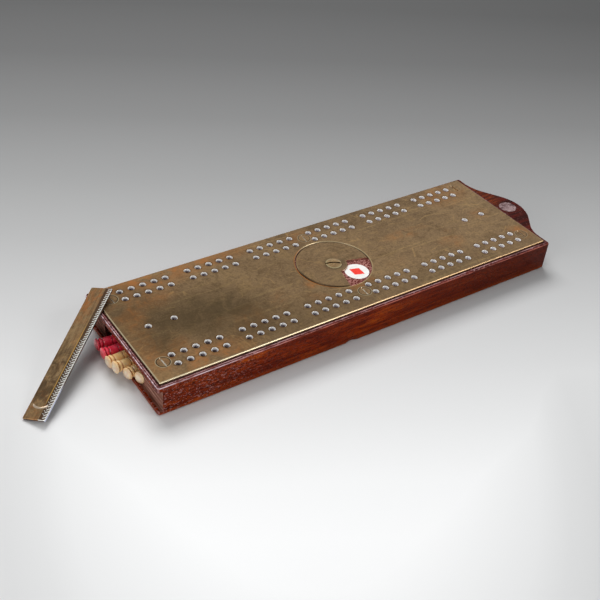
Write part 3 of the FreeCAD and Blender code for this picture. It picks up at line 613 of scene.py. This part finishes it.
def round_line(points, steps):
    # Catmull-Rom through the outline's points, kept from overshooting
    out = []
    last = len(points) - 1
    for i in range(last):
        p0, p1, p2, p3 = (points[max(i - 1, 0)], points[i], points[i + 1],
                          points[min(i + 2, last)])
        for k in range(steps):
            t = k / steps
            pair = []
            for a, b, c, d in zip(p0, p1, p2, p3):
                v = 0.5 * (2 * b + (c - a) * t + (2 * a - 5 * b + 4 * c - d) * t ** 2
                           + (3 * b - a - 3 * c + d) * t ** 3)
                pair.append(min(max(v, min(b, c)), max(b, c)))
            out.append(tuple(pair))
    out.append(points[-1])
    return out


def make_peg_mat(name, kind, head, axis, seed):
    # turned and polished: rings round the axis, a swirled crown, dark grooves
    m = Mat(name)
    axis = tuple(axis)
    rel = m.vec("SUBTRACT", m.p, [c * MM for c in head])
    along = m.vec("DOT_PRODUCT", rel, axis)
    on_axis = m.node("VectorMath", {0: axis, "Scale": along}, operation="SCALE").outputs[0]
    s = m.mul(along, 1000.0)
    r = m.mul(m.vec("LENGTH", m.vec("SUBTRACT", rel, on_axis)), 1000.0)
    ring = m.noise(1000, 2, 0.5, v=m.join(m.mul(s, 0.0035), m.mul(r, 0.0016), 0.0), seed=seed)
    cloud = m.noise(260, 3, 0.6, 0.8, seed=seed + 1)
    grain = m.noise(900, 3, 0.6, 0.4, seed=seed + 2)
    face = m.step(s, 0.6, 0.1)
    groove = m.most(*[m.band(s, at, 0.55, 0.12) for at in GROOVES_S])
    ringed = m.step(ring, 0.48, 0.70, 0.0, 0.40)
    if kind == "red":
        m.colour = m.ramp(cloud, [(0.3, (222, 30, 54)), (0.55, (244, 56, 82)),
                                  (0.75, (252, 104, 124))])
        m.paint(ringed, (196, 10, 30))
        swirl = m.mul(face, m.step(m.add(cloud, m.mul(grain, 0.2)), 0.52, 0.70))
        m.paint(m.mul(swirl, 0.55), (250, 110, 112))
        m.paint(m.mul(groove, 0.6), (140, 2, 12))
    else:
        m.colour = m.ramp(cloud, [(0.3, (255, 198, 124)), (0.55, (255, 217, 152)),
                                  (0.75, (255, 234, 190))])
        m.paint(ringed, (240, 172, 106))
        # brighter middle of the crown: a painted highlight
        m.paint(m.mul(face, m.step(r, 2.9, 1.2, 0.25, 0.75)), (255, 244, 220))
        swirl = m.mul(face, m.step(m.add(cloud, m.mul(grain, 0.25)), 0.54, 0.74))
        m.paint(m.mul(swirl, 0.55), (236, 184, 150))
        m.paint(m.mul(groove, 0.75), (196, 122, 66))
    height = m.add(m.mul(ring, 0.7), m.mul(grain, 0.3))
    return m.done(rough=m.step(cloud, 0.3, 0.7, 0.26, 0.36), coat=0.7, coat_rough=0.16, spec=0.5,
                  normal=m.bump(height, 0.06, 0.5))


def make_peg(name, head, swing, lift, seed):
    a, b = math.radians(swing), math.radians(lift)
    axis = Vector((math.cos(a) * math.cos(b), math.sin(a) * math.cos(b), math.sin(b)))
    side = axis.cross(Vector((0, 0, 1))).normalized()
    up = side.cross(axis)
    start = Vector(head) - axis * PEG_HEAD_S
    line = round_line(PEG_OUTLINE, OUTLINE_STEPS)
    n = PEG_SIDES
    verts, faces, rings = [start * MM], [], []
    for s, r in line[1:-1]:
        if r < THINNEST:
            continue
        rings.append(len(verts))
        for k in range(n):
            t = 2 * math.pi * k / n
            out = (side * math.cos(t) + up * math.sin(t)) * r * PEG_FIT
            verts.append((start + axis * s + out) * MM)
    verts.append((start + axis * line[-1][0]) * MM)
    for k in range(n):
        k2 = (k + 1) % n
        faces.append((0, rings[0] + k2, rings[0] + k))
        faces.append((len(verts) - 1, rings[-1] + k, rings[-1] + k2))
    for a0, b0 in zip(rings, rings[1:]):
        for k in range(n):
            k2 = (k + 1) % n
            faces.append((a0 + k, a0 + k2, b0 + k2, b0 + k))
    kind = "red" if "red" in name else "bone"
    mat = make_peg_mat("turned_" + name, kind, head, axis, seed)
    ob = mesh_object("turned_" + name, verts, faces, mat)
    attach(ob, name)
    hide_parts(name)


for peg in PEGS:
    make_peg(*peg)


# -------------------------------------------------------------- the end cover
# on the cover x runs across from its upper side, y along from its lower end, z out of its face
COVER_L, COVER_W, COVER_T = 87.45, 13.2, 1.2
COVER_BASE = Vector((-196.46252, -13.29344, 1.12819))
COVER_ACROSS = Vector((0.598694, -0.763627, 0.241742))
COVER_ALONG = Vector((0.725583, 0.644882, 0.240119))
COVER_OUT = Vector((-0.339257, 0.031646, 0.940161))
COVER_BEVEL, COVER_CORNER = 0.28, 0.8
COVER_GRID_X, COVER_GRID_Y, SHARP_ANGLE = 66, 435, 28
# bright-cut dashes: the first one, their pitch, and how far each may stray across and along
CUT_FIRST, CUT_PITCH, CUT_SEED, CUT_STRAY = 1.6, 1.73, 100, (0.08, 0.12)
# where the outer and the inner row begin and end; the inner one peters out raggedly
OUTER_FROM, OUTER_TO, INNER_FROM, INNER_TO, INNER_WAVER = 1.2, COVER_L - 1.0, 3.0, 50.0, 3.0
# a dash of each row: distance in from the side, shift and lean along it, depth, and half width
# and half length, both at full depth and at nothing
OUTER_CUT = (1.05, 0.0, 0.55, 0.13, (0.26, 0.46), (0.85, 1.15))
INNER_CUT = (3.0, 0.8, -0.75, 0.11, (0.16, 0.36), (0.60, 0.95))
# thumb nick, an arc: the low point's y, radius and depth, where it stops short of the sides, and
# half width and half length, both at full depth and at nothing
NICK_AT, NICK_R, NICK_DEEP, NICK_FROM_X, NICK_TO_X = 7.0, 6.6, 0.3, 2.0, COVER_W - 2.2
NICK_WIDE, NICK_LONG = (0.36, 0.66), (4.0, 4.6)


def ramp_down(value, full, none):
    # 1 at full, 0 at none, straight between
    return min(max((none - value) / (none - full), 0.0), 1.0)


def cut_depth(x, along, cut, stray=0.0):
    # depth of one dash at x, along mm from its centre
    inward, shift, lean, deep, wide, length = cut
    u = x - (COVER_W - inward + stray)
    w = along - shift - lean * u
    return deep * ramp_down(abs(w), *wide) * ramp_down(abs(u), *length)


def cover_height(x, y):
    # how far the outer face lies below its plane
    from_side = min(x, COVER_W - x)
    from_end = min(y, COVER_L - y)
    cx = max(COVER_CORNER - from_side, 0.0)
    cy = max(COVER_CORNER - from_end, 0.0)
    edge = min(from_side, from_end)
    if cx > 0.0 and cy > 0.0:
        edge = COVER_CORNER - math.hypot(cx, cy)
    drop = max(COVER_BEVEL - edge, 0.0)
    # two rows of dashes along the long side next to the box, each cut a little astray
    k = round((y - CUT_FIRST) / CUT_PITCH)
    rng = random.Random(CUT_SEED + k)
    dx, dy = [rng.uniform(-far, far) for far in CUT_STRAY]
    along = y - (CUT_FIRST + k * CUT_PITCH) - dy
    deep = 0.0
    if OUTER_FROM < y < OUTER_TO:
        deep = cut_depth(x, along, OUTER_CUT, dx)
    if INNER_FROM < y < INNER_TO + INNER_WAVER * math.sin(k):
        deep = max(deep, cut_depth(x, along, INNER_CUT))
    # the thumb nick
    nx, ny = x - COVER_W / 2.0, y - NICK_AT - NICK_R
    if ny < 0.0 and NICK_FROM_X < x < NICK_TO_X:
        arc = ramp_down(abs(math.hypot(nx, ny) - NICK_R), *NICK_WIDE)
        deep = max(deep, NICK_DEEP * arc * ramp_down(abs(nx), *NICK_LONG))
    return drop + deep


def make_cover_mat():
    m, rough, _, fine, _ = brass("aged_brass_cover", 33.0, warm=0.15)
    rel = m.vec("SUBTRACT", m.p, tuple(COVER_BASE * MM))
    x, y, z = [m.mul(m.vec("DOT_PRODUCT", rel, tuple(way)), 1000.0)
               for way in (COVER_ACROSS, COVER_ALONG, COVER_OUT)]
    streak = m.noise(1000, 4, 0.6, 0.3, v=m.join(m.mul(x, 0.0009), m.mul(y, 0.00008), 0.0))
    m.paint(m.step(streak, 0.45, 0.70, 0.0, 0.55), (218, 186, 138))
    m.paint(m.step(streak, 0.50, 0.30, 0.0, 0.45), (128, 104, 78))
    # tarnish at the upper end and some by the nick
    top = m.mul(m.step(y, 56.0, 80.0),
                m.step(m.noise(130, 4, 0.65, 1.0, seed=40.0), 0.42, 0.62))
    low = m.mul(m.step(y, 30.0, 12.0, 0.15, 0.6),
                m.step(m.noise(240, 4, 0.65, 1.2, seed=41.0), 0.50, 0.62))
    m.paint(m.mul(m.most(top, low), 0.75), (226, 142, 80))
    # smoke on the lower half
    smoke = m.mul(m.step(y, 52.0, 34.0), m.step(y, 6.0, 16.0, 0.45, 1.0),
                  m.step(m.noise(130, 4, 0.65, 0.8, seed=42.0), 0.38, 0.58))
    m.paint(m.mul(smoke, 0.72), (100, 78, 58))
    # a line beside the dashes, gilt from wear, and the darker band that they are cut in
    gilt = m.mul(m.band(x, COVER_W - 4.1, 0.42, 0.12), m.step(y, 66.0, 54.0, 0.0, 0.95),
                 m.step(y, 9.0, 13.0))
    m.paint(gilt, (244, 190, 104))
    band = m.mul(m.step(x, COVER_W - 3.9, COVER_W - 3.6), m.step(z, -0.10, -0.02))
    m.paint(m.mul(band, 0.80), (98, 74, 62))
    # bright dashes and nick: cut metal, painted near white as a glint
    cut = m.mul(m.step(z, -0.03, -0.08), m.step(x, COVER_W - 4.0, COVER_W - 3.8),
                m.step(z, -0.7, -0.6))
    m.paint(cut, (255, 253, 246))
    nick = m.mul(m.step(z, -0.05, -0.16), m.step(y, 5.8, 6.2), m.step(y, 15.5, 14.5),
                 m.step(x, COVER_W - 2.1, COVER_W - 2.6))
    m.paint(nick, (240, 216, 190))
    # the sheet's sides: painted shade, a painted reflection of the pale floor near the lower end,
    # and a worn upper one
    floor_reflection = m.mul(m.step(y, 24.0, 17.0), m.step(x, COVER_W - 1.0, COVER_W - 0.3))
    m.paint(m.mul(m.step(z, -0.33, -0.42), 0.9), m.mix(floor_reflection, (84, 58, 54), (206, 216, 240)))
    m.paint(m.mul(m.step(x, 0.42, 0.12), 0.7), (222, 166, 112))
    return m.done(metal=1.0, rough=rough, normal=m.bump(m.add(fine, streak), 0.06, 0.5))


def make_cover():
    # outer face on a fine grid, sides and back closed
    nx, ny = COVER_GRID_X, COVER_GRID_Y
    xs = [COVER_W * i / nx for i in range(nx + 1)]
    ys = [COVER_L * j / ny for j in range(ny + 1)]
    row = ny + 1
    verts, faces, below = [], [], []

    def past(value, length):
        # signed distance past the straight middle part, between the rounded corners
        return min(value - COVER_CORNER, 0.0) + max(value - (length - COVER_CORNER), 0.0)

    def rounded(x, y):
        # pulls the sheet's four corners round
        cx, cy = past(x, COVER_W), past(y, COVER_L)
        if cx == 0 or cy == 0:
            return x, y
        k = max(abs(cx), abs(cy)) / math.hypot(cx, cy)
        return x - cx + cx * k, y - cy + cy * k

    def at(x, y, z):
        return (COVER_BASE + COVER_ACROSS * x + COVER_ALONG * y + COVER_OUT * z) * MM

    for x in xs:
        for y in ys:
            px, py = rounded(x, y)
            verts.append(at(px, py, -cover_height(px, py)))
    for i in range(nx):
        for j in range(ny):
            a, b = i * row + j, (i + 1) * row + j
            faces.append((a, b, b + 1, a + 1))
    rim = [i * row for i in range(nx + 1)] + [nx * row + j for j in range(1, ny + 1)]
    rim += [i * row + ny for i in range(nx - 1, -1, -1)] + list(range(ny - 1, 0, -1))
    for v in rim:
        i, j = divmod(v, row)
        px, py = rounded(xs[i], ys[j])
        below.append(len(verts))
        verts.append(at(px, py, -COVER_T))
    for k in range(len(rim)):
        k2 = (k + 1) % len(rim)
        faces.append((rim[k], rim[k2], below[k2], below[k]))
    faces.append(tuple(below))
    ob = mesh_object("cut_end_cover", verts, faces, make_cover_mat())
    ob.data.set_sharp_from_angle(angle=math.radians(SHARP_ANGLE))
    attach(ob, "cover")
    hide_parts("end_cover")


make_cover()


# --------------------------------------------------------- floor, light, camera
# metres from here on
FLOOR_HALF = 3.0
# the studio sweep fades from white in front to grey behind, a painted fall-off of the light:
# distance forward, and grey
FORWARD = (-0.472, -0.882, 0.0)
FLOOR_FADE = [(-0.46, 96), (-0.335, 110), (-0.222, 133), (-0.130, 158), (-0.055, 180),
              (0.008, 201), (0.062, 218), (0.108, 234), (0.148, 249), (0.183, 255), (0.215, 255)]
# the pool of light on it: middle, direction across, half width and depth of its unit, and grey
POOL_AT, POOL_ACROSS = (-0.067, -0.069, 0.0), (0.870, -0.493, 0.0)
POOL_WIDE, POOL_DEEP = 0.198, 0.312
POOL_FADE = [(0.38, 255), (0.46, 249), (0.60, 238), (0.67, 228), (0.74, 222)]
# even light of the sky, and what metal sees of it: above, and low on the right
SKY_COLOUR, SKY, SKY_DARK, SKY_PALE = (0.93, 0.98, 1.0, 1), 0.15, 0.38, 0.54
SKY_PALE_WAY, SKY_REACH = (0.8, 0.0, -0.6), 0.6
# camera solved from the plate's corners and the rows of holes in the photograph
CAMERA_AT, LENS, SENSOR = (-0.290073, -0.353074, 0.345215), 56.834, 36.0
CAMERA_RIGHT = Vector((0.82811152, -0.5551659, 0.07760235))
CAMERA_DOWN = Vector((-0.29109601, -0.54419824, -0.78683631))
CAMERA_AHEAD = Vector((0.47905575, 0.62899849, -0.61226342))


def grey(stops):
    return [(at, (level, level, level)) for at, level in stops]


def make_floor():
    me = bpy.data.meshes.new("studio_floor")
    h = FLOOR_HALF
    corners = [(-h, -h, 0), (h, -h, 0), (h, h, 0), (-h, h, 0)]
    me.from_pydata(corners, [], [(0, 1, 2, 3)])
    ob = bpy.data.objects.new("studio_floor", me)
    bpy.context.scene.collection.objects.link(ob)
    m = Mat("studio_sweep")
    back, front = FLOOR_FADE[0][0], FLOOR_FADE[-1][0]
    span = front - back
    ahead = m.math("DIVIDE", m.sub(m.vec("DOT_PRODUCT", m.p, FORWARD), back), span, clamp=True)
    fade = m.ramp(ahead, grey([((at - back) / span, level) for at, level in FLOOR_FADE]))
    rel = m.vec("SUBTRACT", m.p, POOL_AT)
    a = m.math("DIVIDE", m.vec("DOT_PRODUCT", rel, POOL_ACROSS), POOL_WIDE)
    b = m.math("DIVIDE", m.vec("DOT_PRODUCT", rel, FORWARD), POOL_DEEP)
    pool = m.ramp(m.vec("LENGTH", m.join(a, b, 0.0)), grey(POOL_FADE))
    m.colour = m.mix(1.0, fade, pool, "DARKEN")
    me.materials.append(m.done(rough=0.9, spec=0.1))


def area(name, at, aim, width, height, power, glossy=True):
    data = bpy.data.lights.new(name, "AREA")
    data.shape = "RECTANGLE"
    data.size, data.size_y = width, height
    data.energy = power
    ob = bpy.data.objects.new(name, data)
    ob.location = at
    ob.rotation_euler = (Vector(aim) - Vector(at)).to_track_quat("-Z", "Y").to_euler()
    ob.visible_glossy = glossy
    bpy.context.scene.collection.objects.link(ob)


def make_world():
    # soft even sky; metal sees it darker above and paler low on the right
    world = bpy.data.worlds.new("studio")
    world.use_nodes = True
    tree = world.node_tree
    back = tree.nodes["Background"]
    back.inputs[0].default_value = SKY_COLOUR
    way = tree.nodes.new("ShaderNodeTexCoord")
    dot = tree.nodes.new("ShaderNodeVectorMath")
    dot.operation = "DOT_PRODUCT"
    dot.inputs[1].default_value = SKY_PALE_WAY
    tree.links.new(way.outputs["Generated"], dot.inputs[0])
    shade = tree.nodes.new("ShaderNodeMapRange")
    for i, value in enumerate((-SKY_REACH, SKY_REACH, SKY_DARK, SKY_PALE)):
        shade.inputs[i + 1].default_value = value
    tree.links.new(dot.outputs["Value"], shade.inputs[0])
    path = tree.nodes.new("ShaderNodeLightPath")
    pick = tree.nodes.new("ShaderNodeMix")
    pick.inputs[2].default_value = SKY
    tree.links.new(path.outputs["Is Glossy Ray"], pick.inputs[0])
    tree.links.new(shade.outputs[0], pick.inputs[3])
    tree.links.new(pick.outputs[0], back.inputs[1])
    bpy.context.scene.world = world


def make_camera():
    data = bpy.data.cameras.new("photo_camera")
    data.sensor_width = SENSOR
    data.lens = LENS
    data.clip_start, data.clip_end = 0.01, 20.0
    ob = bpy.data.objects.new("photo_camera", data)
    turn = Matrix((CAMERA_RIGHT, -CAMERA_DOWN, -CAMERA_AHEAD)).transposed().to_4x4()
    ob.matrix_world = Matrix.Translation(CAMERA_AT) @ turn
    bpy.context.scene.collection.objects.link(ob)
    bpy.context.scene.camera = ob


make_floor()
make_world()
area("overhead", (0.16, 0.66, 0.96), (0, 0, 0), 0.8, 0.6, 11.3, glossy=False)
area("left_fill", (-0.85, -0.26, 0.46), (-0.14, 0, 0.01), 0.4, 0.4, 2.0)
area("top_left", (-0.42, 0.06, 1.10), (-0.13, 0, 0.01), 0.45, 0.45, 1.6)
area("front_right", (0.70, -0.74, 0.82), (0.04, 0, 0.01), 0.5, 0.5, 3.3)
make_camera()
bpy.context.scene.view_settings.view_transform = "Standard"
